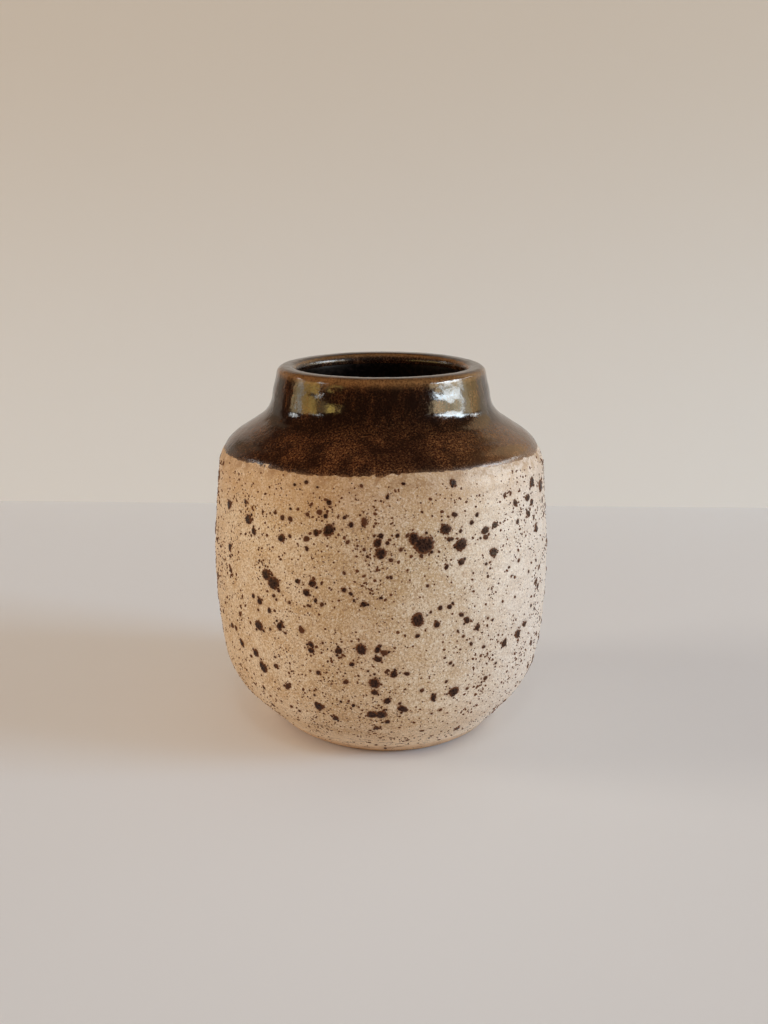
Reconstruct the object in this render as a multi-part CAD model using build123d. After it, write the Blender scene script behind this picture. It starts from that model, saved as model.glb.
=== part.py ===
from build123d import *
import math
import os

# A small wide-mouthed stoneware vase: a barrel belly on a turned foot, a sloped shoulder and a short
# neck. Millimetres, +Z up, origin at the middle of the foot on the surface that the vase stands on.
# Azimuth 0 is the front, -Y, and turns towards +X.

# Driving dimensions
HEIGHT = 120.0
FOOT_RADIUS = 34.4
BELLY_RADIUS = 55.1
NECK_RADIUS = 33.2
MOUTH_RADIUS = 27.1
FLOOR_THICKNESS = 8.0
OUTER_COAT = 0.5
LINER_COAT = 0.4

# Heights where one coat ends and the next one starts
BARE_FOOT_TOP = 1.6
GLAZE_LINE = 94.0
LINER_TOP = 116.5

# Turned recess under the foot
RECESS_RADIUS = 26.0
RECESS_DEPTH = 1.6
FOOT_EDGE_ROUND = 0.8

# How far an iron spot stands out of the coat, as a share of its width
SPOT_RISE = 0.12

# Section of the finished wall: radius, height and corner round of each corner, from the middle of the
# underside, up the outside, over the lip and down the inside to the middle of the floor. The last
# number is the thickness of the coat on the side that starts at that corner.
WALL_SECTION = [
    (0.0, 0.0, 0.0, 0.0),
    (FOOT_RADIUS, 0.0, 0.0, OUTER_COAT),
    (BELLY_RADIUS - 3.0, 19.3, 28.0, OUTER_COAT),
    (BELLY_RADIUS + 1.3, 49.7, 180.0, OUTER_COAT),
    (BELLY_RADIUS - 2.7, 94.9, 14.0, OUTER_COAT),
    (NECK_RADIUS + 2.5, 105.7, 12.0, OUTER_COAT),
    (NECK_RADIUS, HEIGHT, 2.2, OUTER_COAT),
    (MOUTH_RADIUS, HEIGHT, 2.6, LINER_COAT),
    (MOUTH_RADIUS, 101.0, 6.0, LINER_COAT),
    (BELLY_RADIUS - 8.9, 90.5, 9.0, LINER_COAT),
    (BELLY_RADIUS - 4.6, 50.0, 140.0, LINER_COAT),
    (BELLY_RADIUS - 9.0, 22.0, 24.0, LINER_COAT),
    (FOOT_RADIUS - 2.0, FLOOR_THICKNESS, 12.0, LINER_COAT),
    (0.0, FLOOR_THICKNESS, 0.0, 0.0),
]

# Large iron spots on the front: azimuth in degrees, height and width
FRONT_SPOTS = [
    (13, 75, 5.4), (10, 77, 3.2), (20, 79, 3.2), (25, 74, 3.7), (25, 69, 2.0), (37, 70, 2.8),
    (34, 77, 2.4), (38, 78, 2.0), (0, 73, 3.1), (-1, 76, 2.4), (-5, 82, 1.8), (-16, 79, 3.3),
    (-20, 78, 1.8), (-32, 75, 2.4), (-47, 78, 2.8), (-44, 75, 2.0), (-60, 80, 2.8), (-58, 67, 2.0),
    (23, 92, 2.0), (48, 83, 1.8), (56, 83, 2.3), (60, 87, 3.0), (59, 81, 2.0), (56, 78, 2.1),
    (69, 84, 3.6), (62, 72, 2.2), (-38, 63, 3.2), (-35, 61, 4.0), (-41, 54, 2.0), (-42, 46, 3.2),
    (-33, 48, 2.2), (-25, 48, 1.8), (-22, 44, 1.8), (-22, 42, 1.8), (-21, 63, 2.2), (-23, 60, 2.1),
    (-45, 36, 2.5), (-42, 32, 3.3), (-53, 37, 2.2), (-32, 28, 1.9), (-5, 58, 1.7), (11, 53, 3.9),
    (17, 51, 1.9), (27, 51, 1.9), (31, 48, 1.7), (43, 40, 2.3), (50, 41, 2.8), (54, 43, 1.7),
    (-6, 44, 3.2), (-13, 43, 2.2), (-1, 44, 1.9), (1, 43, 1.8), (-1, 41, 2.0), (4, 36, 2.3),
    (-2, 33, 3.2), (-2, 30, 2.0), (2, 27, 2.0), (-3, 22, 3.0), (0, 22, 3.2), (7, 24, 2.5),
    (17, 27, 1.9), (24, 28, 3.2), (-21, 23, 2.9), (-16, 19, 1.8), (2, 19, 1.6), (-2, 16, 1.7),
]

# Large iron spots at the right and left sides
SIDE_SPOTS = [
    (78, 30, 2.4), (83, 62, 3.0), (88, 71, 1.8), (92, 47, 3.4), (97, 51, 1.9), (86, 22, 2.0),
    (101, 79, 2.6), (106, 35, 2.2), (-72, 54, 2.0), (-76, 86, 2.2), (-79, 18, 2.2), (-84, 66, 3.1),
    (-87, 61, 1.9), (-90, 42, 2.5), (-96, 74, 2.0), (-101, 27, 2.8), (-107, 56, 2.3),
]

# The far side carries the front's scatter turned upside down between these two heights
SPOT_FIELD = (14.0, 90.0)


def moved_in(corners):
    """Each corner of a closed outline, with its sides moved in by their coats and its round to match."""
    count = len(corners)
    result = []
    for index in range(count):
        before, here, after = corners[index - 1], corners[index], corners[(index + 1) % count]
        into = Vector(here[0] - before[0], here[1] - before[1]).normalized()
        out = Vector(after[0] - here[0], after[1] - here[1]).normalized()
        turn = into.X * out.Y - into.Y * out.X
        coat_before, coat_after = before[3], here[3]
        along = (coat_before * (into.X * out.X + into.Y * out.Y) - coat_after) / turn
        radius = here[0] - into.Y * coat_before + into.X * along
        height = here[1] + into.X * coat_before + into.Y * along
        round_change = max(coat_before, coat_after) * math.copysign(1.0, turn)
        corner_round = max(here[2] - round_change, 0.0)
        result.append((radius, height, corner_round, 0.0))
    return result


def turned(corners):
    """Solid of revolution of a closed outline, its corners rounded."""
    points = [(corner[0], corner[1]) for corner in corners]
    rounds = [corner[2] for corner in corners[1:-1]]
    wall_line = FilletPolyline(*points, radius=rounds)
    section = make_face(wall_line + Line(points[-1], points[0]))
    return revolve(Plane.XZ * section, Axis.Z)


def slab(low, high):
    """A block, wider than the vase, between two heights."""
    return Pos(0, 0, low) * Box(200, 200, high - low, align=(Align.CENTER, Align.CENTER, Align.MIN))


def make_clay_body(clay):
    """The fired clay, with the recess turned under its foot and the foot's edges rounded."""
    recess = Cone(RECESS_RADIUS, RECESS_RADIUS - RECESS_DEPTH, RECESS_DEPTH,
                  align=(Align.CENTER, Align.CENTER, Align.MIN))
    body = clay - recess
    foot_edges = body.edges().filter_by_position(Axis.Z, -0.01, 0.01)
    return fillet(foot_edges, FOOT_EDGE_ROUND)


def make_coats(pot, clay):
    """The belly coat, the shoulder glaze and the liner glaze, as separate solids on the clay."""
    skin = pot - clay
    lip = skin & slab(LINER_TOP, HEIGHT + 1)
    walls = (skin & slab(BARE_FOOT_TOP, LINER_TOP)).solids().sort_by(lambda wall: wall.bounding_box().size.X)
    liner, outside = walls[0], walls[-1]
    belly = outside & slab(BARE_FOOT_TOP, GLAZE_LINE)
    shoulder = (outside & slab(GLAZE_LINE, LINER_TOP)) + lip
    return belly, shoulder, liner


def surface_at(filled, azimuth, height):
    """The plane that touches the outside of the vase at an azimuth and height, facing outwards."""
    angle = math.radians(azimuth)
    outward = Vector(math.sin(angle), -math.cos(angle), 0)
    start = Vector(0, 0, height) + outward * (2 * BELLY_RADIUS)
    hits = filled.find_intersection_points(Axis(start, -outward))
    point, normal = min(hits, key=lambda hit: (hit[0] - start).length)
    return Plane(origin=point, z_dir=normal * math.copysign(1.0, normal.dot(outward)))


def make_iron_spots(filled):
    """Low fused beads on the coat. Beads that touch have run together into one solid."""
    low, high = SPOT_FIELD
    far_spots = [(azimuth + 180, low + high - height, width) for azimuth, height, width in FRONT_SPOTS]
    bead = scale(Sphere(0.5), by=(1, 1, 2 * SPOT_RISE))
    beads = []
    for azimuth, height, width in FRONT_SPOTS + SIDE_SPOTS + far_spots:
        beads.append(surface_at(filled, azimuth, height) * scale(bead, by=width))
    return (Part() + beads) - filled


def write(shape, node):
    shape.label = node
    export_step(shape, f"parts/{node}.step")


os.makedirs("parts", exist_ok=True)
pot = turned(WALL_SECTION)
clay = turned(moved_in(WALL_SECTION))
belly_coat, shoulder_glaze, inner_glaze = make_coats(pot, clay)
write(make_clay_body(clay), "clay_body")
write(belly_coat, "belly_coat")
write(shoulder_glaze, "shoulder_glaze")
write(inner_glaze, "inner_glaze")
filled = turned(WALL_SECTION[:7] + [(0.0, HEIGHT, 0.0, 0.0)])
write(make_iron_spots(filled), "iron_spots")
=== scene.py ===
import math

import bpy
import numpy as np
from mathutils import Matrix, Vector


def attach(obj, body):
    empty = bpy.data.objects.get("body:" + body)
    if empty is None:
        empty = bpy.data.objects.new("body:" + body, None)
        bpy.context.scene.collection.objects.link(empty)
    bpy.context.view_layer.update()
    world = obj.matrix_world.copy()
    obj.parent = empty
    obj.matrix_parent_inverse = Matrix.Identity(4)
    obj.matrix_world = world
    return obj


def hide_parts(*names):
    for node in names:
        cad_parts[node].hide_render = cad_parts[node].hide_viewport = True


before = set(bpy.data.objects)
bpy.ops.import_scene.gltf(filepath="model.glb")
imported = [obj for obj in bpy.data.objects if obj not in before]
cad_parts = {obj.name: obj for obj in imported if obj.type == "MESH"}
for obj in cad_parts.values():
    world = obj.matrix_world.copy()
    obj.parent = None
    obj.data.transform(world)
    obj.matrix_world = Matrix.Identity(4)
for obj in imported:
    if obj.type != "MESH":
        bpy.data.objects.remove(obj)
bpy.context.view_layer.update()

MM = 0.001

# ---------------------------------------------------------------------------------------------
# The form. Sizes in this part are in millimetres, and each mesh is turned into metres as it is made.
# Azimuth 0 is the front, -Y, and turns towards +X, as in the CAD model.

# The finished surface, as in the CAD model: radius, height and corner round of each corner, from the
# foot up the outside, over the lip and down the inside to the middle of the floor
SURFACE_CORNERS = [
    (34.4, 0.0, 0.0), (52.1, 19.3, 28.0), (56.4, 49.7, 180.0), (52.4, 94.9, 14.0),
    (35.7, 105.7, 12.0), (33.2, 120.0, 2.2), (27.1, 120.0, 2.6), (27.1, 101.0, 6.0),
    (46.2, 90.5, 9.0), (50.5, 50.0, 140.0), (46.1, 22.0, 24.0), (32.4, 8.0, 12.0), (0.0, 8.0, 0.0),
]
BARE_FOOT_TOP = 1.6
GLAZE_LINE = 94.0
LINER_TOP = 116.5
COAT = 0.5
RECESS_RADIUS = 26.0
RECESS_DEPTH = 1.6
HEIGHT_OF_POT = 120.0
LINE_STEP = 0.1
NECK_SPAN = 20.0  # along the surface, from the lip to below the inside of the neck
COLUMNS = 768  # vertices round the coat and the glaze

# The lip dips a little towards the front
RIM_DIP = 0.8
RIM_DIP_FROM = 103.0

# The glazed neck swells a little in the middle of its height
NECK_SWELL = 0.34
NECK_MIDDLE = 111.8

# The foot was turned a little off the axis of the pot, and this fades out up the belly
FOOT_SHIFT = 1.65
FOOT_SHIFT_TOP = 28.0

# Large iron spots on the front, as in the CAD model: azimuth in degrees, height and width
FRONT_SPOTS = [
    (13, 75, 5.4), (10, 77, 3.2), (20, 79, 3.2), (25, 74, 3.7), (25, 69, 2.0), (37, 70, 2.8),
    (34, 77, 2.4), (38, 78, 2.0), (0, 73, 3.1), (-1, 76, 2.4), (-5, 82, 1.8), (-16, 79, 3.3),
    (-20, 78, 1.8), (-32, 75, 2.4), (-47, 78, 2.8), (-44, 75, 2.0), (-60, 80, 2.8), (-58, 67, 2.0),
    (23, 92, 2.0), (48, 83, 1.8), (56, 83, 2.3), (60, 87, 3.0), (59, 81, 2.0), (56, 78, 2.1),
    (69, 84, 3.6), (62, 72, 2.2), (-38, 63, 3.2), (-35, 61, 4.0), (-41, 54, 2.0), (-42, 46, 3.2),
    (-33, 48, 2.2), (-25, 48, 1.8), (-22, 44, 1.8), (-22, 42, 1.8), (-21, 63, 2.2), (-23, 60, 2.1),
    (-45, 36, 2.5), (-42, 32, 3.3), (-53, 37, 2.2), (-32, 28, 1.9), (-5, 58, 1.7), (11, 53, 3.9),
    (17, 51, 1.9), (27, 51, 1.9), (31, 48, 1.7), (43, 40, 2.3), (50, 41, 2.8), (54, 43, 1.7),
    (-6, 44, 3.2), (-13, 43, 2.2), (-1, 44, 1.9), (1, 43, 1.8), (-1, 41, 2.0), (4, 36, 2.3),
    (-2, 33, 3.2), (-2, 30, 2.0), (2, 27, 2.0), (-3, 22, 3.0), (0, 22, 3.2), (7, 24, 2.5),
    (17, 27, 1.9), (24, 28, 3.2), (-21, 23, 2.9), (-16, 19, 1.8), (2, 19, 1.6), (-2, 16, 1.7),
]
SIDE_SPOTS = [
    (78, 30, 2.4), (83, 62, 3.0), (88, 71, 1.8), (92, 47, 3.4), (97, 51, 1.9), (86, 22, 2.0),
    (101, 79, 2.6), (106, 35, 2.2), (-72, 54, 2.0), (-76, 86, 2.2), (-79, 18, 2.2), (-84, 66, 3.1),
    (-87, 61, 1.9), (-90, 42, 2.5), (-96, 74, 2.0), (-101, 27, 2.8), (-107, 56, 2.3),
]
# The far side carries the front's scatter turned upside down between these two heights
SPOT_FIELD = (14.0, 90.0)
EXTRA_SIDE_SPOTS = 60
# Fine specks: single ones, gathered groups, and more just below the glaze
SINGLE_SPECKS = 2700
SPECK_GROUPS = 400
SPECKS_BELOW_GLAZE = 620
BELLY_RADIUS = 53.0

# Middle-sized iron spots on the front, which the CAD model leaves out
SMALL_SPOTS = [
    (-49, 83, 1.3), (-32, 81, 1.5), (-29, 81, 1.5), (-35, 82, 1.0), (-23, 83, 1.2), (-19, 84, 1.6),
    (-17, 83, 1.3), (-16, 87, 1.6), (-23, 76, 1.5), (-23, 73, 1.2), (-28, 91, 0.9), (-24, 92, 1.2),
    (-20, 91, 0.7), (-29, 84, 0.8), (-29, 76, 1.1), (-11, 83, 1.1), (-9, 81, 1.5), (0, 78, 1.5),
    (-2, 78, 0.8), (2, 76, 1.2), (3, 71, 1.2), (5, 78, 1.2), (6, 74, 1.1), (8, 78, 1.1),
    (-10, 76, 1.1), (-5, 74, 1.0), (-7, 75, 0.7), (-4, 72, 0.9), (2, 89, 1.1), (7, 93, 1.0),
    (-6, 92, 1.0), (-11, 67, 1.0), (2, 66, 0.9), (3, 66, 1.0), (23, 83, 1.5), (20, 68, 1.3),
    (21, 76, 1.3), (22, 76, 1.1), (25, 78, 1.0), (29, 80, 1.4), (31, 82, 1.3), (34, 75, 1.6),
    (32, 75, 0.9), (49, 77, 1.4), (46, 86, 1.0), (43, 86, 1.3), (60, 76, 1.3), (49, 65, 1.2),
    (61, 62, 1.0), (34, 67, 1.0), (44, 64, 0.9), (45, 61, 0.8), (55, 60, 1.0), (64, 59, 1.5),
    (-33, 59, 1.1), (-35, 57, 1.1), (-34, 56, 0.8), (-44, 55, 1.4), (-37, 52, 1.5), (-42, 51, 0.8),
    (-33, 47, 1.3), (-31, 46, 0.9), (-37, 46, 0.9), (-26, 63, 1.5), (-20, 58, 1.2), (-18, 57, 1.2),
    (-22, 56, 0.9), (-29, 56, 1.0), (-57, 60, 1.6), (-52, 47, 1.3), (-59, 41, 1.7), (-56, 41, 1.5),
    (-36, 34, 1.5), (-48, 34, 1.1), (-20, 35, 1.4), (-36, 37, 0.8), (-18, 45, 0.7), (-11, 62, 1.4),
    (-9, 61, 1.1), (0, 60, 1.0), (-8, 59, 0.8), (11, 48, 1.3), (14, 63, 1.0), (-9, 39, 1.4),
    (8, 36, 1.4), (-11, 33, 1.4), (13, 30, 1.3), (-4, 37, 0.7), (-2, 36, 0.8), (18, 56, 1.4),
    (21, 56, 1.5), (22, 57, 0.9), (15, 55, 0.8), (25, 53, 1.4), (37, 49, 0.9), (35, 50, 0.8),
    (24, 48, 0.9), (26, 46, 0.9), (29, 43, 1.2), (34, 41, 1.1), (22, 38, 1.1), (23, 37, 0.7),
    (20, 40, 0.7), (21, 32, 1.0), (29, 28, 1.0), (36, 30, 1.5), (62, 34, 1.6), (58, 48, 1.2),
    (61, 46, 1.0), (63, 53, 1.5), (61, 55, 1.2), (41, 54, 0.9), (47, 54, 0.9), (64, 25, 1.5),
    (40, 34, 0.9), (-31, 29, 0.9), (-44, 24, 1.2), (-44, 17, 1.4), (-33, 20, 1.2), (-30, 19, 1.0),
    (-22, 27, 0.8), (-13, 26, 0.8), (-9, 25, 1.1), (6, 26, 1.0), (17, 21, 0.8), (20, 22, 1.1),
    (12.2, 71.9, 1.1), (15.4, 72.8, 1.0), (15, 13, 1.1), (32, 10, 1.7), (-4, 5, 1.0), (0, 3, 0.9),
    (10, 8, 1.1), (55, 15, 1.4),
]


def rounded_line(corners, step=LINE_STEP):
    """Points about a step apart along a line whose corners are rounded by arcs."""
    points = [np.array(corners[0][:2])]
    for before, here, after in zip(corners, corners[1:], corners[2:]):
        corner, radius = np.array(here[:2]), here[2]
        back = np.array(before[:2]) - corner
        ahead = np.array(after[:2]) - corner
        back, ahead = back / np.linalg.norm(back), ahead / np.linalg.norm(ahead)
        half = math.acos(np.clip(back @ ahead, -1, 1)) / 2
        middle = (back + ahead) / np.linalg.norm(back + ahead)
        centre = corner + middle * radius / math.sin(half)
        first = corner + back * radius / math.tan(half)
        last = corner + ahead * radius / math.tan(half)
        start = math.atan2(*(first - centre)[::-1])
        sweep = (math.atan2(*(last - centre)[::-1]) - start + math.pi) % (2 * math.pi) - math.pi
        for angle in np.linspace(start, start + sweep, max(int(abs(sweep) * radius / step), 3)):
            points.append(centre + radius * np.array([math.cos(angle), math.sin(angle)]))
    points.append(np.array(corners[-1][:2]))
    points = np.array(points)
    gaps = np.linalg.norm(np.diff(points, axis=0), axis=1)
    points = points[np.concatenate([[True], gaps > 1e-6])]
    along = np.concatenate([[0], np.cumsum(np.linalg.norm(np.diff(points, axis=0), axis=1))])
    even = np.linspace(0, along[-1], int(along[-1] / step))
    return even, np.interp(even, along, points[:, 0]), np.interp(even, along, points[:, 1])


ALONG, RADIUS, HEIGHT = rounded_line(SURFACE_CORNERS)
LIP = int(np.argmax(HEIGHT + 0.001 * (RADIUS > 30)))
SLOPE_R, SLOPE_Z = np.gradient(RADIUS), np.gradient(HEIGHT)
SLOPE = np.hypot(SLOPE_R, SLOPE_Z)
NORMAL_R, NORMAL_Z = SLOPE_Z / SLOPE, -SLOPE_R / SLOPE


def outside_at(height):
    """How far along the surface line the outside reaches this height."""
    return float(np.interp(height, HEIGHT[:LIP], ALONG[:LIP]))


def inside_at(height):
    """How far along the surface line the inside of the neck comes down to this height."""
    line = slice(LIP, LIP + int(NECK_SPAN / LINE_STEP))
    return float(np.interp(-height, -HEIGHT[line], ALONG[line]))


def lattice_noise(rng, across, along, cells_across, cells_along):
    """Smooth noise from -1 to 1 over across 0..1, which wraps round, and along 0..1."""
    values = rng.uniform(-1, 1, (cells_along + 2, cells_across))
    x, y = np.asarray(across) % 1.0 * cells_across, np.clip(along, 0, 1) * cells_along
    column, row = np.floor(x).astype(int), np.floor(y).astype(int)
    u, v = x - column, y - row
    u, v = u * u * (3 - 2 * u), v * v * (3 - 2 * v)
    left, right = column % cells_across, (column + 1) % cells_across
    low = values[row, left] * (1 - u) + values[row, right] * u
    high = values[row + 1, left] * (1 - u) + values[row + 1, right] * u
    return low * (1 - v) + high * v


def wall_form(azimuth, along):
    """The pot's own unevenness: how far its surface stands out from the true form, in millimetres."""
    height = np.interp(along, ALONG, HEIGHT)
    up = height / HEIGHT_OF_POT
    out_of_round = 0.16 * np.sin(2 * azimuth + 0.6 + 1.2 * up) + 0.07 * np.sin(3 * azimuth - 1.0)
    rings = 0.05 * np.sin(height * 0.85 + 0.5 * np.sin(azimuth)) + 0.03 * np.sin(height * 2.1 + 1.7)
    rng = np.random.default_rng(11)
    lumps = 0.09 * lattice_noise(rng, azimuth / (2 * math.pi), along / ALONG[-1], 14, 22)
    calm = 1 - 0.85 * np.clip((height - 96) / 8, 0, 1)
    return out_of_round + (rings + lumps) * calm


def place(azimuth, along, proud=0.0):
    """Points in metres on the surface at an azimuth in radians, moved out along its normal."""
    azimuth, along = np.broadcast_arrays(azimuth, along)
    out = wall_form(azimuth, along) + proud
    radius = np.interp(along, ALONG, RADIUS)
    fade = np.clip(radius / 8.0, 0, 1)
    radius = radius + np.interp(along, ALONG, NORMAL_R) * out * fade
    height = np.interp(along, ALONG, HEIGHT) + np.interp(along, ALONG, NORMAL_Z) * out
    height = np.minimum(height, HEIGHT.max() + 0.2)
    height = height - RIM_DIP * (1 + np.cos(azimuth)) / 2 * np.clip((height - RIM_DIP_FROM) / 14, 0, 1)
    shift = FOOT_SHIFT * np.clip(1 - height / FOOT_SHIFT_TOP, 0, 1) ** 2
    x = radius * np.sin(azimuth) + shift
    return np.stack([x, -radius * np.cos(azimuth), height], axis=-1) * MM


# ---------------------------------------------------------------------------------------------
# Meshes


def make_piece(name, points, faces, node_names, material, attributes=None):
    """A smooth-shaded piece that rides on the vase and stands for CAD nodes."""
    mesh = bpy.data.meshes.new(name)
    mesh.from_pydata(np.asarray(points).tolist(), [], faces)
    for attribute_name, values in (attributes or {}).items():
        attribute = mesh.attributes.new(attribute_name, "FLOAT", "POINT")
        attribute.data.foreach_set("value", np.asarray(values, dtype=np.float32))
    mesh.shade_smooth()
    mesh.materials.append(material)
    piece = bpy.data.objects.new(name, mesh)
    bpy.context.scene.collection.objects.link(piece)
    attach(piece, "root")
    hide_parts(*node_names)
    return piece


def grid_faces(rows, columns, first=0):
    """Quads of a grid of rows that wraps round across its columns."""
    faces = []
    for row in range(rows - 1):
        low, high = first + row * columns, first + (row + 1) * columns
        for column in range(columns):
            following = (column + 1) % columns
            faces.append((low + column, low + following, high + following, high + column))
    return faces


def join_rings(fine, coarse, ratio, flip):
    """Triangles between a fine ring of vertices and a coarse one with a ratio-th of its count."""
    faces = []
    for index in range(len(coarse)):
        here, following = coarse[index], coarse[(index + 1) % len(coarse)]
        start = index * ratio
        for offset in range(ratio):
            one, two = fine[(start + offset) % len(fine)], fine[(start + offset + 1) % len(fine)]
            nearest = here if offset < ratio // 2 else following
            faces.append((one, two, nearest))
            if offset == ratio // 2 - 1:
                faces.append((two, following, here))
    return [face[::-1] for face in faces] if flip else faces


def shell(outer, depth, ratio=8):
    """A closed skin: a fine outer grid, and a coarse back a depth inside it. outer is rows x columns x 3,
    and depth the same points moved in."""
    rows, columns, _ = outer.shape
    back_rows = sorted(set(range(0, rows, ratio)) | {rows - 1})
    back = depth[back_rows][:, ::ratio]
    points = np.concatenate([outer.reshape(-1, 3), back.reshape(-1, 3)])
    first, back_columns = rows * columns, columns // ratio
    faces = grid_faces(rows, columns)
    faces += [face[::-1] for face in grid_faces(len(back_rows), back_columns, first)]
    low_fine, low_coarse = list(range(columns)), list(range(first, first + back_columns))
    high_fine = list(range((rows - 1) * columns, rows * columns))
    high_coarse = list(range(len(points) - back_columns, len(points)))
    faces += join_rings(low_fine, low_coarse, ratio, True)
    faces += join_rings(high_fine, high_coarse, ratio, False)
    return points, faces


def padded(values, total):
    """Values of the outer grid, followed by zeros for the back's vertices."""
    flat = np.asarray(values).ravel()
    return np.concatenate([flat, np.zeros(total - flat.size)])


# ---------------------------------------------------------------------------------------------
# Iron spots


def make_spot_list():
    """Every spot that has a mesh of its own: azimuth in radians, distance along the surface, width in
    millimetres, and the numbers that make its outline uneven."""
    rng = np.random.default_rng(5)
    low, high = SPOT_FIELD
    spots = FRONT_SPOTS + SIDE_SPOTS
    spots += [(azimuth + 180, low + high - height, width) for azimuth, height, width in FRONT_SPOTS]
    spots += SMALL_SPOTS
    spots += [(azimuth + 180, low + high - height, width) for azimuth, height, width in SMALL_SPOTS]
    for _ in range(EXTRA_SIDE_SPOTS):
        side = rng.choice((-1, 1))
        spots.append((side * rng.uniform(68, 112), rng.uniform(8, 91), rng.uniform(0.8, 1.7)))
    made = []
    for azimuth, height, width in spots:
        height = min(max(height, 3.0), 92.5)
        made.append(new_spot(rng, math.radians(azimuth), outside_at(height), width))
    for spot in list(made):
        if spot["width"] < 1.7:
            continue
        for _ in range(rng.integers(1, 4)):
            angle, reach = rng.uniform(0, 2 * math.pi), spot["width"] * rng.uniform(0.5, 0.8)
            radius = np.interp(spot["along"], ALONG, RADIUS)
            azimuth = spot["azimuth"] + reach * math.cos(angle) / radius
            along = spot["along"] + reach * math.sin(angle)
            made.append(new_spot(rng, azimuth, along, rng.uniform(0.45, 0.95)))
    for spot in made:
        spot["shade"] = 0.64 * spot["shade"] if spot["width"] > 1.9 else 0.55 + 0.25 * spot["shade"]
    return made


def new_spot(rng, azimuth, along, width):
    """One spot with its own uneven outline."""
    waves = [(order, rng.uniform(0.5, 1.0) * 0.16 / order, rng.uniform(0, 2 * math.pi))
             for order in range(2, 7)]
    if width > 1.2:
        waves += [(order, rng.uniform(0.012, 0.034), rng.uniform(0, 2 * math.pi)) for order in range(8, 18)]
    return {
        "azimuth": azimuth, "along": along, "width": width, "waves": waves,
        "stretch": rng.uniform(1.0, 1.1 if width > 2.5 else 1.3), "turn": rng.uniform(0, math.pi),
        "shade": rng.uniform(0, 1),
    }


def spot_outline(spot, angle):
    """The spot's radius in millimetres at an angle in the surface."""
    swing = angle - spot["turn"]
    stretch = spot["stretch"]
    base = 1 / np.hypot(np.cos(swing) / stretch, np.sin(swing) * stretch ** 0.5)
    ripple = sum(size * np.cos(order * swing + phase) for order, size, phase in spot["waves"])
    return spot["width"] / 2 * base * (1 + ripple)


def add_spot_mesh(spot, points, faces, rims, shades):
    """A low bead with an uneven outline that sits on the coat and follows its curve."""
    width = spot["width"]
    around = 56 if width > 2.4 else 40 if width > 1.2 else 16 if width > 0.6 else 8
    shares = [0.0, 0.25, 0.5, 0.72, 0.87, 0.96, 1.0, 1.08] if width > 1.2 else [0.0, 0.5, 0.9, 1.15]
    if width < 0.6:
        shares = [0.0, 0.85, 1.15]
    rise = min(0.075 * width, 0.26)
    dip = 0.5 if spot["shade"] < 0.3 else 0.0
    angle = np.arange(around) * 2 * math.pi / around
    outline = spot_outline(spot, angle)
    radius = np.interp(spot["along"], ALONG, RADIUS)
    first = len(points)
    lump = np.cos(2 * angle + spot["turn"]) * 0.12
    for index, share in enumerate(shares):
        count = 1 if index == 0 else around
        reach = np.zeros(1) if index == 0 else outline * share
        direction = angle[:count]
        dome = rise * (max(1 - min(share, 1.0) ** 2.6, 0) ** 0.6 - dip * math.exp(-(share / 0.35) ** 2))
        crust = 0.10 * rise * np.sin(direction * 9 + 11 * share + 6 * spot["shade"]) * share
        proud = dome * (1 + lump[:count] * share) + crust + (0.09 if share <= 1 else -0.12)
        azimuth = spot["azimuth"] + reach * np.cos(direction) / radius
        placed = place(azimuth, spot["along"] + reach * np.sin(direction), proud)
        points.extend(placed.tolist())
        rims.extend([min(share, 1.0)] * count)
        shades.extend([spot["shade"]] * count)
    for step in range(around):
        faces.append((first, first + 1 + step, first + 1 + (step + 1) % around))
    for ring in range(1, len(shares) - 1):
        low, high = first + 1 + (ring - 1) * around, first + 1 + ring * around
        for step in range(around):
            following = (step + 1) % around
            faces.append((low + step, high + step, high + following, low + following))


def make_specks():
    """Thousands of small iron specks, loosely gathered into drifts."""
    rng = np.random.default_rng(23)
    low, high = outside_at(3.0), outside_at(93.2)
    places = []
    for _ in range(SINGLE_SPECKS):
        places.append((rng.uniform(0, 2 * math.pi), rng.uniform(low, high)))
    for _ in range(SPECK_GROUPS):
        centre = rng.uniform(0, 2 * math.pi), rng.uniform(low + 6, high - 6)
        spread = rng.uniform(1.4, 4.5)
        for _ in range(rng.integers(5, 17)):
            places.append((centre[0] + rng.normal(0, spread) / BELLY_RADIUS,
                           centre[1] + rng.normal(0, spread)))
    below_glaze = np.random.default_rng(31)
    for _ in range(SPECKS_BELOW_GLAZE):
        places.append((below_glaze.uniform(0, 2 * math.pi), high - abs(below_glaze.normal(2.5, 7.0))))
    specks = []
    for azimuth, along in places:
        share = (along - low) / (high - low)
        keep = min(share / 0.10, (1 - share) / 0.05, 1.0)
        width = float(np.clip(math.exp(rng.normal(math.log(0.42), 0.36)), 0.22, 1.0))
        if 0 < share < 1 and rng.uniform() < 0.25 + 0.75 * keep:
            speck = new_spot(rng, azimuth, along, width)
            speck["shade"] = 0.75 + 0.25 * speck["shade"]
            specks.append(speck)
    return specks


def make_spots_piece(name, spots, material, node_names):
    """The given spots as one piece of many separate beads."""
    points, faces, rims, shades = [], [], [], []
    for spot in spots:
        add_spot_mesh(spot, points, faces, rims, shades)
    attributes = {"rim": rims, "shade": shades}
    return make_piece(name, points, faces, node_names, material, attributes)


# ---------------------------------------------------------------------------------------------
# Material helpers


def node_adder(tree):
    """A function that adds a node to the tree, with its settings and its inputs' values or links."""
    def add(kind, inputs=None, **settings):
        node = tree.nodes.new(kind)
        for key, value in settings.items():
            setattr(node, key, value)
        for key, value in (inputs or {}).items():
            if isinstance(value, bpy.types.NodeSocket):
                tree.links.new(value, node.inputs[key])
            else:
                node.inputs[key].default_value = value
        return node

    return add


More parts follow.
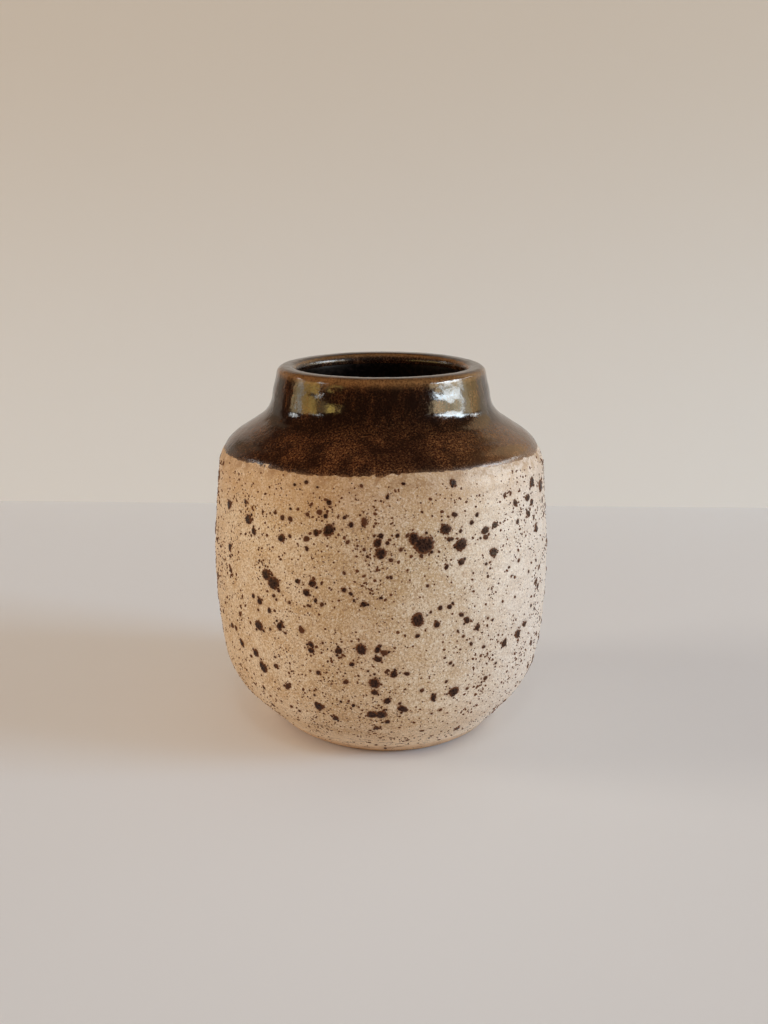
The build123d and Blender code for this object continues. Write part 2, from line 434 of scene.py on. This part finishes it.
def new_material(name, roughness):
    """A material with one Principled shader. Returns it with its shader and a function that adds nodes."""
    material = bpy.data.materials.new(name)
    material.use_nodes = True
    tree = material.node_tree
    shader = next(node for node in tree.nodes if node.type == "BSDF_PRINCIPLED")
    shader.inputs["Roughness"].default_value = roughness
    return material, shader, tree, node_adder(tree)


def colour(red, green, blue):
    """An opaque linear colour."""
    return (red, green, blue, 1.0)


def noise(add, where, scale, detail=2.0, roughness=0.5, distortion=0.0):
    """The noise value, about 0.2 to 0.8, at a scale per metre."""
    inputs = {"Vector": where, "Scale": scale, "Detail": detail, "Roughness": roughness,
              "Distortion": distortion}
    return add("ShaderNodeTexNoise", inputs).outputs["Fac"]


def ramp(add, value, low, high, start=0.0, end=1.0):
    """value remapped from low..high to start..end, and held inside them."""
    inputs = {"Value": value, "From Min": low, "From Max": high, "To Min": start, "To Max": end}
    return add("ShaderNodeMapRange", inputs, interpolation_type="SMOOTHSTEP").outputs["Result"]


def mix(add, share, one, two):
    """Colour one turned into colour two by share."""
    node = add("ShaderNodeMix", data_type="RGBA")
    for socket, value in (("Factor", share), ("A", one), ("B", two)):
        place_in = [item for item in node.inputs if item.name == socket and item.enabled][0]
        if isinstance(value, bpy.types.NodeSocket):
            node.id_data.links.new(value, place_in)
        else:
            place_in.default_value = value
    return [item for item in node.outputs if item.enabled][0]


def maths(add, operation, *values):
    """One Math node."""
    node = add("ShaderNodeMath", operation=operation)
    for index, value in enumerate(values):
        if isinstance(value, bpy.types.NodeSocket):
            node.id_data.links.new(value, node.inputs[index])
        else:
            node.inputs[index].default_value = value
    return node.outputs[0]


def attribute(add, name):
    """A value that the mesh carries on its vertices."""
    return add("ShaderNodeAttribute", attribute_name=name).outputs["Fac"]


def object_place(add):
    """The place on the piece, in metres, and its height and sideways distance alone."""
    where = add("ShaderNodeTexCoord").outputs["Object"]
    parts = add("ShaderNodeSeparateXYZ", {"Vector": where})
    return where, parts.outputs["Z"], parts.outputs["X"]


def stretched_noise(add, where, scales, detail, roughness=0.6):
    """Noise with its own scale per metre along each axis."""
    scaled = add("ShaderNodeVectorMath", {0: where, 1: scales}, operation="MULTIPLY")
    return noise(add, scaled.outputs["Vector"], 1.0, detail, roughness)


def add_bump(add, shader, relief, strength, distance):
    """A fine bump on the shader, with its distance in metres."""
    bump = add("ShaderNodeBump", {"Height": relief, "Strength": strength, "Distance": distance})
    shader.id_data.links.new(bump.outputs["Normal"], shader.inputs["Normal"])


# ---------------------------------------------------------------------------------------------
# Materials


def sandy_coat_material():
    """Dry cream coat with a sandy grain, pale drifts, brown halos round the iron and tiny specks, with painted
    sheen towards +X and painted light just above the foot.
    """
    material, shader, tree, add = new_material("sandy_coat", 0.6)
    where, height, across = object_place(add)
    drift = noise(add, where, 38, 3, 0.55)
    patch = noise(add, where, 130, 3, 0.6, 0.4)
    grain = noise(add, where, 1700, 2, 0.7, 0.4)
    fine = noise(add, where, 3200, 1, 0.5)
    base = mix(add, ramp(add, drift, 0.35, 0.65), colour(0.645, 0.41, 0.195), colour(0.75, 0.51, 0.285))
    base = mix(add, ramp(add, patch, 0.46, 0.66, 0.0, 0.5), base, colour(0.87, 0.66, 0.44))
    base = mix(add, ramp(add, patch, 0.50, 0.34, 0.0, 0.5), base, colour(0.59, 0.335, 0.125))
    base = mix(add, ramp(add, grain, 0.36, 0.50, 0.72, 0.0), base, colour(0.36, 0.17, 0.065))
    base = mix(add, ramp(add, grain, 0.52, 0.66, 0.0, 0.7), base, colour(0.95, 0.79, 0.60))
    base = mix(add, ramp(add, fine, 0.55, 0.70, 0.0, 0.35), base, colour(0.34, 0.18, 0.09))
    # Painted light: the coat is painted paler just above the foot, lifting the shade that falls there
    painted_foot_light = ramp(add, height, 0.013, 0.004, 0.0, 0.75)
    base = mix(add, painted_foot_light, base, colour(0.94, 0.72, 0.49))
    # Painted sheen: the coat is painted paler towards +X, standing in for the daylight and sheen on the right
    # side
    base = mix(add, ramp(add, across, 0.006, 0.048, 0.0, 0.42), base, colour(0.86, 0.70, 0.60))
    base = mix(add, ramp(add, height, 0.0054, 0.0026, 0.0, 0.85), base, colour(0.66, 0.38, 0.18))
    dots = add("ShaderNodeTexVoronoi", {"Vector": where, "Scale": 1150.0, "Randomness": 1.0})
    chance = add("ShaderNodeSeparateColor", {"Color": dots.outputs["Color"]})
    near = ramp(add, dots.outputs["Distance"], 0.16, 0.29, 1.0, 0.0)
    chosen = ramp(add, chance.outputs["Red"], 0.52, 0.58)
    gathered = ramp(add, noise(add, where, 160, 2, 0.6), 0.40, 0.58, 0.15, 0.9)
    specked = maths(add, "MULTIPLY", maths(add, "MULTIPLY", near, chosen), gathered)
    base = mix(add, specked, base, colour(0.13, 0.040, 0.014))
    drag = ramp(add, stretched_noise(add, where, (230.0, 230.0, 2300.0), 2), 0.57, 0.64, 0.0, 0.75)
    drag = maths(add, "MULTIPLY", drag, ramp(add, height, 0.0110, 0.0070))
    base = mix(add, drag, base, colour(0.22, 0.09, 0.035))
    stain = ramp(add, height, 0.076, 0.090, 0.0, 0.42)
    stain = maths(add, "MULTIPLY", stain, ramp(add, drift, 0.35, 0.60, 1.0, 0.6))
    stain = maths(add, "MULTIPLY", stain, ramp(add, across, 0.012, 0.040, 1.0, 0.5))
    base = mix(add, stain, base, colour(0.52, 0.22, 0.05))
    under_glaze = ramp(add, height, 0.0865, 0.0942, 0.0, 0.8)
    ragged = maths(add, "MULTIPLY", under_glaze, ramp(add, noise(add, where, 300, 4, 0.7), 0.44, 0.62))
    base = mix(add, ragged, base, colour(0.40, 0.185, 0.055))
    halo = attribute(add, "halo")
    base = mix(add, maths(add, "MULTIPLY", halo, 0.75), base, colour(0.25, 0.105, 0.042))
    tree.links.new(base, shader.inputs["Base Color"])
    glassy = maths(add, "MULTIPLY", ramp(add, chance.outputs["Green"], 0.80, 0.86), near)
    dry = maths(add, "SUBTRACT", ramp(add, grain, 0.3, 0.7, 0.46, 0.64), maths(add, "MULTIPLY", glassy, 0.26))
    tree.links.new(dry, shader.inputs["Roughness"])
    relief = maths(add, "ADD", grain, maths(add, "MULTIPLY", fine, 0.5))
    add_bump(add, shader, relief, 0.6, 0.0002)
    shader.inputs["Specular IOR Level"].default_value = 0.85
    return material


def brown_glaze_material():
    """Glossy brown glaze with fine golden mottling, dark where it pooled and caramel where it is thin, with
    painted sheen that makes it more golden towards +X.
    """
    material, shader, tree, add = new_material("brown_glaze", 0.1)
    where, height, across = object_place(add)
    fleck = noise(add, where, 1900, 4, 0.72, 0.3)
    cloud = noise(add, where, 150, 3, 0.6, 0.3)
    broad = noise(add, where, 48, 2, 0.5)
    thin = attribute(add, "thin")
    dark, brown = colour(0.018, 0.005, 0.002), colour(0.092, 0.026, 0.008)
    golden = colour(0.36, 0.15, 0.045)
    base = mix(add, ramp(add, fleck, 0.40, 0.51), dark, brown)
    base = mix(add, ramp(add, fleck, 0.51, 0.65, 0.0, 0.8), base, golden)
    base = mix(add, ramp(add, cloud, 0.54, 0.36, 0.0, 0.7), base, dark)
    base = mix(add, ramp(add, broad, 0.53, 0.40, 0.0, 0.6), base, dark)
    # Painted sheen: the glaze is painted more golden towards +X, standing in for the light and sheen on the
    # right of the shoulder
    base = mix(add, ramp(add, across, 0.014, 0.050, 0.0, 0.35), base, colour(0.30, 0.125, 0.040))
    neck = ramp(add, height, 0.1025, 0.1085)
    reddish = ramp(add, stretched_noise(add, where, (260.0, 260.0, 90.0), 3), 0.45, 0.64, 0.88, 0.40)
    base = mix(add, maths(add, "MULTIPLY", neck, reddish), base, colour(0.012, 0.004, 0.002))
    pooled = maths(add, "MULTIPLY", ramp(add, height, 0.1015, 0.1045), ramp(add, height, 0.1090, 0.1055))
    base = mix(add, maths(add, "MULTIPLY", pooled, 0.45), base, colour(0.008, 0.003, 0.0015))
    base = mix(add, maths(add, "MULTIPLY", thin, ramp(add, fleck, 0.36, 0.58, 0.35, 1.0)), base,
               colour(0.42, 0.185, 0.058))
    tree.links.new(base, shader.inputs["Base Color"])
    gloss = maths(add, "ADD", ramp(add, fleck, 0.35, 0.7, 0.06, 0.18),
                  ramp(add, height, 0.1055, 0.1025, 0.0, 0.05))
    dull = maths(add, "MULTIPLY", attribute(add, "dry"), 0.3)
    tree.links.new(maths(add, "ADD", gloss, dull), shader.inputs["Roughness"])
    ripple = maths(add, "ADD", noise(add, where, 620, 3, 0.55), maths(add, "MULTIPLY", fleck, 0.3))
    add_bump(add, shader, ripple, 0.22, 0.00025)
    shader.inputs["IOR"].default_value = 1.5
    return material


def liner_glaze_material():
    """Near-black gloss inside the pot: the liner glaze, darkened to near-black as painted shade for the dim
    inside.
    """
    material, shader, tree, add = new_material("liner_glaze", 0.2)
    where, _, _ = object_place(add)
    fleck = noise(add, where, 900, 3, 0.6)
    # Near-black colour: partly the liner glaze, partly painted shade for the dim inside of the pot
    base = mix(add, ramp(add, fleck, 0.42, 0.68), colour(0.003, 0.0018, 0.0014), colour(0.012, 0.006, 0.004))
    tree.links.new(base, shader.inputs["Base Color"])
    tree.links.new(ramp(add, fleck, 0.35, 0.7, 0.3, 0.5), shader.inputs["Roughness"])
    shader.inputs["Specular IOR Level"].default_value = 0.03
    add_bump(add, shader, noise(add, where, 300, 2), 0.1, 0.0003)
    return material


def iron_material():
    """Melted iron: brown-black with a redder rim, half glossy."""
    material, shader, tree, add = new_material("iron_bead", 0.4)
    where, _, _ = object_place(add)
    mottle = noise(add, where, 1600, 3, 0.6)
    rim, shade = attribute(add, "rim"), attribute(add, "shade")
    base = mix(add, ramp(add, mottle, 0.40, 0.64), colour(0.020, 0.006, 0.003), colour(0.070, 0.024, 0.010))
    base = mix(add, ramp(add, shade, 0.62, 0.9, 0.0, 0.9), base, colour(0.15, 0.048, 0.017))
    ragged = maths(add, "ADD", rim, maths(add, "MULTIPLY", maths(add, "SUBTRACT", mottle, 0.5), 0.9))
    base = mix(add, ramp(add, ragged, 0.66, 0.96, 0.0, 0.9), base, colour(0.17, 0.058, 0.020))
    tree.links.new(base, shader.inputs["Base Color"])
    shader.inputs["Specular IOR Level"].default_value = 0.16
    dull = maths(add, "ADD", ramp(add, shade, 0.62, 0.8, 0.0, 0.25), ramp(add, rim, 0.5, 0.8, 0.0, 0.2))
    rough = maths(add, "ADD", ramp(add, mottle, 0.38, 0.62, 0.24, 0.5), dull)
    tree.links.new(rough, shader.inputs["Roughness"])
    bump = add("ShaderNodeBump", {"Height": mottle, "Strength": 0.35, "Distance": 0.00012})
    tree.links.new(bump.outputs["Normal"], shader.inputs["Normal"])
    return material


def bare_clay_material():
    """Bare orange-tan stoneware with a fine grog and the drag lines of the turning tool."""
    material, shader, tree, add = new_material("bare_clay", 0.85)
    where, _, _ = object_place(add)
    grog = noise(add, where, 1700, 3, 0.65)
    drag = stretched_noise(add, where, (90.0, 90.0, 3200.0), 2)
    base = mix(add, ramp(add, grog, 0.34, 0.66), colour(0.50, 0.25, 0.09), colour(0.80, 0.47, 0.20))
    base = mix(add, ramp(add, drag, 0.35, 0.6, 0.5, 0.0), base, colour(0.34, 0.17, 0.07))
    tree.links.new(base, shader.inputs["Base Color"])
    tree.links.new(ramp(add, grog, 0.3, 0.7, 0.75, 0.92), shader.inputs["Roughness"])
    add_bump(add, shader, maths(add, "ADD", grog, drag), 0.5, 0.0002)
    return material


def table_material():
    """The plain pale table."""
    material, shader, _, _ = new_material("stage_table", 0.9)
    shader.inputs["Base Color"].default_value = colour(0.826, 0.776, 0.717)
    return material


def wall_material():
    """A plain wall with painted shade: its colour is a little darker and warmer higher up, where less light
    falls.
    """
    material, shader, tree, add = new_material("stage_wall", 0.9)
    _, height, _ = object_place(add)
    # Painted shade: the wall's colour darkens and warms towards its top
    base = mix(add, ramp(add, height, 0.0, 0.32), colour(0.920, 0.850, 0.743), colour(0.787, 0.665, 0.518))
    tree.links.new(base, shader.inputs["Base Color"])
    return material


# ---------------------------------------------------------------------------------------------
# The pieces


def make_clay(material):
    """The clay body: a closed solid just inside the coats, with its recessed foot showing."""
    columns = 384
    along = np.concatenate([
        np.arange(outside_at(0.0), outside_at(BARE_FOOT_TOP + 2), 0.3),
        np.arange(outside_at(BARE_FOOT_TOP + 2) + 1, ALONG[-1] - 8, 1.6),
        [ALONG[-1] - 4],
    ])
    azimuth = np.arange(columns) * 2 * math.pi / columns
    rng = np.random.default_rng(41)
    rough = 0.05 * lattice_noise(rng, azimuth[None, :] / (2 * math.pi), along[:, None] / ALONG[-1], 220, 330)
    walls = place(azimuth[None, :], along[:, None], rough - COAT)
    walls[..., 2] = np.maximum(walls[..., 2], 0.5 * MM)
    rings = [(RECESS_RADIUS - 12, RECESS_DEPTH), (RECESS_RADIUS - 2, RECESS_DEPTH),
             (RECESS_RADIUS - 1.0, RECESS_DEPTH - 0.1), (RECESS_RADIUS - 0.3, 0.5), (RECESS_RADIUS + 0.6, 0.0),
             (RECESS_RADIUS + 3.5, 0.0), (32.2, 0.0), (32.9, 0.05), (33.4, 0.2)]
    under = np.zeros((len(rings), columns, 3))
    for index, (radius, height) in enumerate(rings):
        under[index, :, 0] = (radius * np.sin(azimuth) + FOOT_SHIFT) * MM
        under[index, :, 1] = -radius * np.cos(azimuth) * MM
        under[index, :, 2] = height * MM
    body = np.concatenate([under, walls])
    points = body.reshape(-1, 3).tolist()
    faces = grid_faces(body.shape[0], columns)
    points.append([FOOT_SHIFT * MM, 0, RECESS_DEPTH * MM])
    points.append([0, 0, (HEIGHT[-1] - COAT) * MM])
    last = (body.shape[0] - 1) * columns
    for column in range(columns):
        following = (column + 1) % columns
        faces.append((len(points) - 2, following, column))
        faces.append((len(points) - 1, last + column, last + following))
    return make_piece("vase_clay", points, faces, ["clay_body"], material)


def make_coat(material, spots):
    """The sandy coat, with its grain in the mesh and a halo value round each iron spot."""
    low, high = outside_at(BARE_FOOT_TOP), outside_at(GLAZE_LINE + 2.5)
    along = np.linspace(low, high, int((high - low) / 0.45))[:, None]
    azimuth = (np.arange(COLUMNS) * 2 * math.pi / COLUMNS)[None, :]
    across, share = azimuth / (2 * math.pi), (along - low) / (high - low)
    rng = np.random.default_rng(3)
    sand = 0.035 * lattice_noise(rng, across, share, 384, 110)
    sand = sand + 0.04 * lattice_noise(rng, across, share, 170, 52)
    sand = sand + 0.03 * lattice_noise(rng, across, share, 60, 18)
    drag = lattice_noise(rng, across, share, 9, 150) * np.clip(1 - (along - low) / 14, 0, 1)
    edge = -0.35 * np.clip(1 - (along - low) / 0.5, 0, 1) ** 2
    tuck = -0.25 * np.clip((along - outside_at(GLAZE_LINE + 1.2)) / 0.8, 0, 1)
    proud = sand + 0.05 * drag + edge + tuck
    outer, back = place(azimuth, along, proud), place(azimuth, along, -COAT)
    halo = np.zeros(proud.shape)
    for spot in spots:
        radius = np.interp(spot["along"], ALONG, RADIUS)
        side = (azimuth[0] - spot["azimuth"] + math.pi) % (2 * math.pi) - math.pi
        rows = np.nonzero(abs(along[:, 0] - spot["along"]) < spot["width"] + 1.5)[0]
        picked = np.nonzero(abs(side) * radius < spot["width"] + 1.5)[0]
        dx = side[picked][None, :] * radius
        dy = along[rows] - spot["along"]
        away = np.hypot(dx, dy) - spot_outline(spot, np.arctan2(dy, dx))
        reach = 0.16 + 0.06 * spot["width"]
        value = np.exp(-np.clip(away, 0, None) / reach) * (0.55 + 0.45 * spot["shade"])
        window = np.ix_(rows, picked)
        halo[window] = np.maximum(halo[window], value)
    points, faces = shell(outer, back)
    return make_piece("belly_coat_skin", points, faces, ["belly_coat"], material,
                      {"halo": padded(halo, len(points))})


def glaze_edge(azimuth):
    """The height of the glaze's uneven lower edge."""
    rng = np.random.default_rng(8)
    turn = azimuth / (2 * math.pi)
    slow = 0.35 * np.sin(azimuth * 2 + 0.9) + 0.25 * np.sin(azimuth * 5 - 0.4)
    wave = 0.28 * lattice_noise(rng, turn, np.zeros_like(turn), 26, 1)
    tooth = 0.10 * lattice_noise(rng, turn, np.zeros_like(turn), 150, 1)
    return GLAZE_LINE + slow + wave + tooth


def make_glaze(material):
    """The brown glaze from its uneven lower edge over the shoulder, neck and lip to just inside."""
    azimuth = np.arange(COLUMNS) * 2 * math.pi / COLUMNS
    start = np.interp(glaze_edge(azimuth), HEIGHT[:LIP], ALONG[:LIP])[None, :]
    end = inside_at(LINER_TOP)
    rows = int((end - outside_at(GLAZE_LINE)) / 0.42)
    share = np.linspace(0, 1, rows)[:, None] ** 1.04
    along = start + (end - start) * share
    turn = np.broadcast_to(azimuth / (2 * math.pi), along.shape)
    rng = np.random.default_rng(17)
    flow = 0.035 * lattice_noise(rng, turn, share, 70, 22) + 0.018 * lattice_noise(rng, turn, share, 190, 60)
    from_edge, to_end = along - start, end - along
    flow = flow * (1 - 0.6 * np.exp(-from_edge / 1.5))
    thick = 0.16 * (1 - np.exp(-from_edge / 0.9)) - 0.055 - 0.25 * np.clip(1 - to_end / 1.2, 0, 1)
    thick = thick + NECK_SWELL * np.exp(-((along - outside_at(NECK_MIDDLE)) / 3.4) ** 2)
    outer = place(azimuth[None, :], along, flow + thick)
    back = place(azimuth[None, :], along, -COAT)
    outer_round = np.exp(-((along - outside_at(119.0)) / 1.3) ** 2)
    inner_round = np.exp(-((along - inside_at(119.2)) / 0.6) ** 2)
    fringe = np.exp(-from_edge / 0.5)
    thin = np.maximum(np.maximum(0.6 * outer_round, 0.6 * inner_round), 0.75 * fringe)
    dry = 0.5 * np.clip((along - inside_at(119.7)) / 1.2, 0, 1) + np.exp(-from_edge / 1.1)
    points, faces = shell(outer, back)
    return make_piece("shoulder_glaze_skin", points, faces, ["shoulder_glaze"], material,
                      {"thin": padded(thin, len(points)), "dry": padded(dry, len(points))})


def make_liner(material):
    """The liner glaze, down the neck and over the cavity's walls and floor."""
    columns = 256
    along = np.arange(inside_at(LINER_TOP + 0.8), ALONG[-1] - 2.0, 0.8)[:, None]
    azimuth = (np.arange(columns) * 2 * math.pi / columns)[None, :]
    rings = 0.08 * np.sin(along * 1.1) * np.ones_like(azimuth)
    tuck = -0.3 * np.clip(1 - (along - along[0]) / 0.8, 0, 1)
    outer, back = place(azimuth, along, rings + tuck), place(azimuth, along, -0.4 + 0 * rings)
    points, faces = shell(outer, back)
    points = points.tolist()
    rows = outer.shape[0]
    back_columns = columns // 8
    faces = [face for face in faces if not is_end_join(face, rows, columns, len(points), back_columns)]
    points.append([0, 0, HEIGHT[-1] * MM])
    points.append([0, 0, (HEIGHT[-1] - 0.4) * MM])
    for column in range(columns):
        here = (rows - 1) * columns + column
        following = (rows - 1) * columns + (column + 1) % columns
        faces.append((here, following, len(points) - 2))
    first_back = len(points) - 2 - back_columns
    for column in range(back_columns):
        here, following = first_back + column, first_back + (column + 1) % back_columns
        faces.append((following, here, len(points) - 1))
    return make_piece("inner_glaze_skin", points, faces, ["inner_glaze"], material)


def is_end_join(face, rows, columns, total, back_columns):
    """Whether a face joins the last fine ring to the last coarse ring."""
    fine = range((rows - 1) * columns, rows * columns)
    coarse = range(total - back_columns, total)
    return len(face) == 3 and all(index in fine or index in coarse for index in face)


# ---------------------------------------------------------------------------------------------
# Studio

# Lengths in metres
CAMERA_PLACE = (0.00088, -0.3304, 0.1600)
CAMERA_PITCH = math.radians(15.18)
CAMERA_LENS = 36.0
WALL_Y = 0.277
WALL_TURN = 0.036
WALL_LEAN = 0.25
WALL_LEFT, WALL_RIGHT = -0.252, 0.31
WALL_TOP = 0.9
TABLE_RADIUS = 1.0
TABLE_SIDES = 96
NECK_EYE = 0.1
# What the glaze mirrors on each side: distance, azimuths, elevations, radiance and tint
WHITE, OLIVE, AMBER = (0.80, 0.84, 0.83), (1.0, 0.86, 0.56), (1.0, 0.70, 0.32)
WINDOW_VIEWS = [
    ("right_near_a", 1.6, 54, 66, -4, 17, 7.0, (1.0, 0.78, 0.48)),
    ("right_near_b", 1.6, 67, 75.3, -4, 11, 5.0, OLIVE),
    ("right_near_c", 1.6, 76.3, 90, -4, 11, 5.4, OLIVE),
    ("right_sky", 1.6, 69, 90, 11, 19, 18.0, WHITE),
    ("right_edge", 1.6, 90.3, 93, -4, 19, 18.0, WHITE),
    ("right_top", 1.6, 60, 98, 19, 26, 24.0, (0.80, 0.92, 1.0)),
    ("right_far_a", 1.6, 96, 104, -4, 17, 3.8, (1.0, 0.80, 0.46)),
    ("right_far_b", 1.6, 105.5, 112, -4, 17, 2.3, AMBER),
    ("right_far_c", 1.6, 113.5, 121, -4, 14, 1.6, AMBER),
    ("right_glint_a", 1.6, 102, 107, 19, 23, 15.0, WHITE),
    ("right_glint_b", 1.6, 112, 118, 19, 24, 15.0, WHITE),
    ("right_ceiling", 1.6, 118, 148, 22, 50, 1.0, (1.0, 0.72, 0.42)),
    ("right_back", 1.6, 122, 150, -10, 32, 0.85, (1.0, 0.86, 0.68)),
    ("left_near", -1.6, 42, 66, -4, 14, 1.3, AMBER),
    ("left_bloom", -1.5, 46, 56, 3, 13, 6.0, (1.0, 0.72, 0.16)),
    ("left_far_a", -1.6, 95.5, 103, -4, 17, 2.6, (1.0, 0.76, 0.38)),
    ("left_far_b", -1.6, 80, 91, -4, 16, 3.1, (1.0, 0.62, 0.18)),
    ("left_far_c", -1.6, 69.5, 79, -4, 17, 4.2, (1.0, 0.65, 0.18)),
    ("left_gap", -1.6, 92.5, 94, -4, 17, 9.0, WHITE),
    ("left_glint_a", -1.6, 99, 106, 20, 24, 18.0, WHITE),
    ("left_glint_b", -1.6, 66, 72, 18.5, 21.5, 16.0, WHITE),
    ("left_ceiling", -1.6, 128, 150, 22, 45, 0.25, (1.0, 0.76, 0.50)),
    ("left_back", -1.6, 124, 150, -10, 32, 0.35, (1.0, 0.86, 0.68)),
]
AMBIENT = (0.505, 0.440, 0.393, 1.0)
FOOT_FILL_FROM, FOOT_FILL_AIM = Vector((0.0, -0.45, 0.66)), Vector((0.0, -0.052, 0.0))
FOOT_FILL_WATTS, FOOT_FILL_ANGLE, FOOT_FILL_TINT = 2.9, 14.5, (0.86, 0.95, 1.0)
GLOSS_SURROUND = (0.02, 0.018, 0.015, 1.0)
FAR_WALL = (0.59, 0.54, 0.475, 1.0)


def make_camera():
    """The camera in front of the vase, looking a little down."""
    data = bpy.data.cameras.new("camera")
    data.lens, data.sensor_width = CAMERA_LENS, 36.0
    data.clip_start, data.clip_end = 0.01, 20.0
    camera = bpy.data.objects.new("camera", data)
    camera.location = CAMERA_PLACE
    camera.rotation_euler = (math.pi / 2 - CAMERA_PITCH, 0, 0)
    bpy.context.scene.collection.objects.link(camera)
    bpy.context.scene.camera = camera


def make_stage(name, points, faces, material):
    """A flat part of the room round the vase."""
    mesh = bpy.data.meshes.new(name)
    mesh.from_pydata(points, [], faces)
    mesh.shade_smooth()
    mesh.materials.append(material)
    item = bpy.data.objects.new(name, mesh)
    bpy.context.scene.collection.objects.link(item)


def make_room():
    """A pale table with a pale wall behind it."""
    turns = [2 * math.pi * step / TABLE_SIDES for step in range(TABLE_SIDES)]
    rim = [(TABLE_RADIUS * math.cos(turn), TABLE_RADIUS * math.sin(turn), 0) for turn in turns]
    make_stage("floor", rim, [tuple(range(TABLE_SIDES))], table_material())
    corners = []
    for x, height in ((WALL_LEFT, 0), (WALL_RIGHT, 0), (WALL_RIGHT, WALL_TOP), (WALL_LEFT, WALL_TOP)):
        corners.append((x, WALL_Y - WALL_TURN * x + WALL_LEAN * height, height))
    make_stage("backdrop", corners, [(0, 1, 2, 3)], wall_material())


def window(name, x, near, far, low, high, radiance, tint, in_gloss=True, in_diffuse=True):
    """A rectangular light on one side, facing across the table. near and far are azimuths in degrees as
    the neck sees them, low and high are elevations above it at azimuth 90."""
    sign = 1 if x > 0 else -1
    y_near, y_far = -abs(x) / math.tan(math.radians(near)), -abs(x) / math.tan(math.radians(far))
    z_low, z_high = (NECK_EYE + abs(x) * math.tan(math.radians(angle)) for angle in (low, high))
    data = bpy.data.lights.new(name, "AREA")
    data.shape, data.size, data.size_y = "RECTANGLE", y_far - y_near, z_high - z_low
    data.energy, data.color = radiance * math.pi * data.size * data.size_y, tint
    lamp = bpy.data.objects.new(name, data)
    lamp.location = (x, (y_near + y_far) / 2, (z_low + z_high) / 2)
    lamp.rotation_euler = (math.pi / 2, 0, sign * math.pi / 2)
    lamp.visible_camera = False
    lamp.visible_glossy, lamp.visible_diffuse = in_gloss, in_diffuse
    bpy.context.scene.collection.objects.link(lamp)


def foot_fill():
    """A weak soft pool of light that lifts the table in front of the foot."""
    data = bpy.data.lights.new("foot_fill", "SPOT")
    data.energy, data.color = FOOT_FILL_WATTS, FOOT_FILL_TINT
    data.spot_size, data.spot_blend, data.shadow_soft_size = math.radians(FOOT_FILL_ANGLE), 1.0, 0.08
    lamp = bpy.data.objects.new("foot_fill", data)
    lamp.location = FOOT_FILL_FROM
    lamp.rotation_euler = (FOOT_FILL_AIM - lamp.location).to_track_quat("-Z", "Y").to_euler()
    lamp.visible_camera, lamp.visible_glossy = False, False
    bpy.context.scene.collection.objects.link(lamp)


def make_lights():
    """Daylight from both sides, what the glaze mirrors, and the room's soft light from everywhere."""
    foot_fill()
    for name, x, near, far, low, high, radiance, tint in WINDOW_VIEWS:
        window(name, x, near, far, low, high, radiance, tint, in_diffuse=False)
    window("right_day", 3.2, 70, 88, 3, 25, 21.9, (0.40, 0.67, 1.0), in_gloss=False)
    window("left_day", -3.2, 79, 98, 4, 25, 9.0, (0.98, 0.96, 0.90), in_gloss=False)
    world = bpy.data.worlds.new("world")
    bpy.context.scene.world = world
    world.use_nodes = True
    tree = world.node_tree
    background = next(node for node in tree.nodes if node.type == "BACKGROUND")
    add = node_adder(tree)
    path = add("ShaderNodeLightPath")
    room = mix(add, path.outputs["Is Glossy Ray"], AMBIENT, GLOSS_SURROUND)
    room = mix(add, path.outputs["Is Camera Ray"], room, FAR_WALL)
    tree.links.new(room, background.inputs["Color"])


make_camera()
spot_list = make_spot_list()
iron = iron_material()
make_clay(bare_clay_material())
make_coat(sandy_coat_material(), spot_list)
make_glaze(brown_glaze_material())
make_liner(liner_glaze_material())
make_spots_piece("iron_spot_beads", spot_list, iron, ["iron_spots"])
make_spots_piece("iron_specks", make_specks(), iron, ["iron_spots"])
make_room()
make_lights()

scene = bpy.context.scene
scene.view_settings.view_transform = "Standard"
scene.view_settings.look = "None"
scene.view_settings.exposure = 0.0
